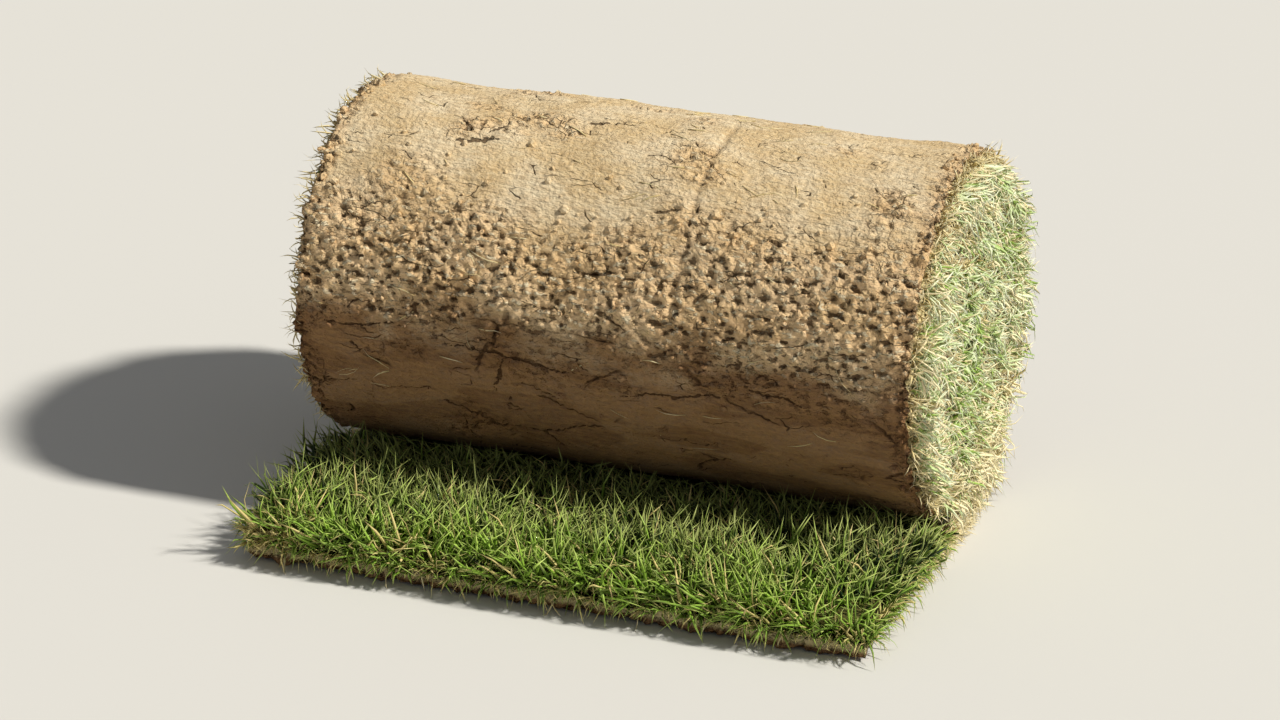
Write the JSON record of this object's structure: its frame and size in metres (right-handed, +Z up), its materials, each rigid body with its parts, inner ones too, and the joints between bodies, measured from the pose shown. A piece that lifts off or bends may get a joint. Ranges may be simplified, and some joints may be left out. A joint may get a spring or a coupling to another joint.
{
  "type": "roll of turf",
  "caption": "Cut strip of lawn turf wound soil side out into a tight roll, lying on its side with its free end laid flat, grass up, in front of it.",
  "frame": {"origin": "bottom centre of the box around the roll and its free end", "axes": "+X along the roll's axis, the strip's width; -Y towards the free end; +Z up"},
  "size_m": [0.4, 0.3145, 0.249],
  "materials": {
    "soil": "matte",
    "grass": "matte",
    "thatch": "matte"
  },
  "bodies": {
    "root": {"turf_roll": "soil"}
  },
  "joints": []
}
